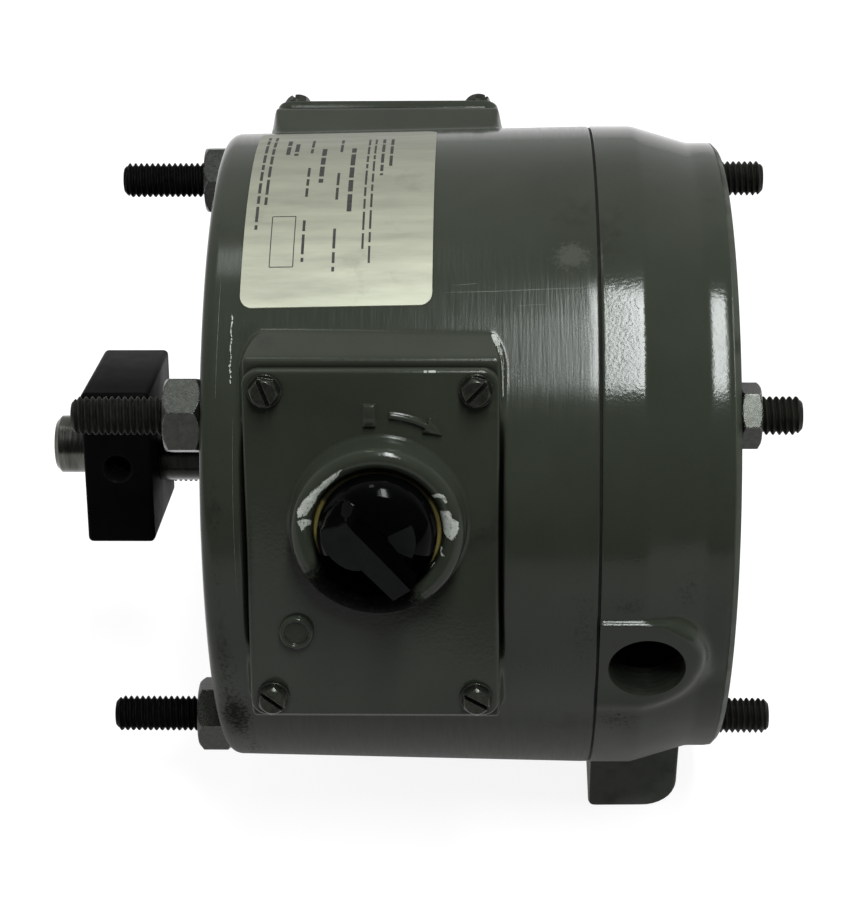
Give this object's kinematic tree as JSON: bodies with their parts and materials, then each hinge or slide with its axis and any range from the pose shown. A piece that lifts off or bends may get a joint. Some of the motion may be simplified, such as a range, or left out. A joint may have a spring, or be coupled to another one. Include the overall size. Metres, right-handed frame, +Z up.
{
  "type": "spring applied brake",
  "caption": "Spring applied friction brake: drafted round housing with a release knob on a side cover, through studs, a square hub on the output shaft and a conduit entry.",
  "frame": {"origin": "on the shaft axis in the plane of the motor side mounting face", "axes": "+X along the shaft out of the motor side face, +Z up with the feet at the bottom, release knob on the -Y side"},
  "size_m": [0.1963, 0.1981, 0.1761],
  "materials": {
    "grey_paint": "gloss",
    "gasket": "matte",
    "black_steel": "satin",
    "zinc_steel": "satin",
    "steel": "satin",
    "label_foil": "satin",
    "yellow_washer": "satin",
    "black_plastic": "gloss",
    "friction_lining": "matte",
    "coil_tape": "satin"
  },
  "bodies": {
    "base": {"housing": "grey_paint", "endplate": "grey_paint", "body_gasket": "gasket", "thru_studs": "black_steel", "stud_nuts": "zinc_steel", "jam_nut": "zinc_steel", "front_cover": "grey_paint", "rear_cover": "grey_paint", "front_gasket": "gasket", "rear_gasket": "gasket", "cover_screws": "zinc_steel", "access_plug": "grey_paint", "label_plate": "label_foil", "knob_washer": "yellow_washer", "shaft_seal": "gasket", "front_outer_race": "steel", "rear_outer_race": "steel", "stationary_disc": "steel", "support_plate": "steel", "support_posts": "steel", "post_nuts": "zinc_steel", "pivot_pin": "steel", "solenoid_frame": "steel", "solenoid_coil": "coil_tape"},
    "rotor": {"shaft": "steel", "drive_hub": "steel", "drive_key": "steel", "friction_disc_a": "friction_lining", "friction_disc_b": "friction_lining", "coupling_hub": "black_steel", "coupling_key": "steel", "coupling_screw": "black_steel", "front_inner_race": "steel", "rear_inner_race": "steel", "hub_ring": "steel"},
    "release": {"knob": "black_plastic", "release_shaft": "steel", "release_clip": "steel"},
    "yoke": {"lever": "zinc_steel"},
    "armature": {"plunger": "steel", "link_pin": "steel"},
    "clamp": {"pressure_plate": "steel", "pull_studs": "steel", "pull_nuts": "zinc_steel", "torque_springs": "steel"}
  },
  "joints": [
    {"name": "shaft_spin", "type": "hinge", "parent": "base", "child": "rotor", "pos_m": [-0.1, 0, 0], "axis": [1, 0, 0], "continuous": true},
    {"name": "knob_turn", "type": "hinge", "parent": "base", "child": "release", "pos_m": [-0.0878, -0.08528, 0.04236], "axis": [0, -0.9239, 0.3827], "range_deg": [-4, 139]},
    {"name": "lever_swing", "type": "hinge", "parent": "base", "child": "yoke", "pos_m": [-0.079, -0.0199, -0.04804], "axis": [0, 0.9239, -0.3827], "range_deg": [-0.03, 1.02]},
    {"name": "plunger_slide", "type": "slide", "parent": "base", "child": "armature", "axis": [1, 0, 0], "range_m": [-0.00005, 0.00178]},
    {"name": "clamp_slide", "type": "slide", "parent": "base", "child": "clamp", "axis": [1, 0, 0], "range_m": [0, 0.0009]}
  ],
  "couplings": [
    {"joint": "knob_turn", "follows": "clamp_slide", "rad_per_m": 2618},
    {"joint": "lever_swing", "follows": "clamp_slide", "rad_per_m": 19.231},
    {"joint": "plunger_slide", "follows": "clamp_slide", "ratio": 1.9231}
  ]
}
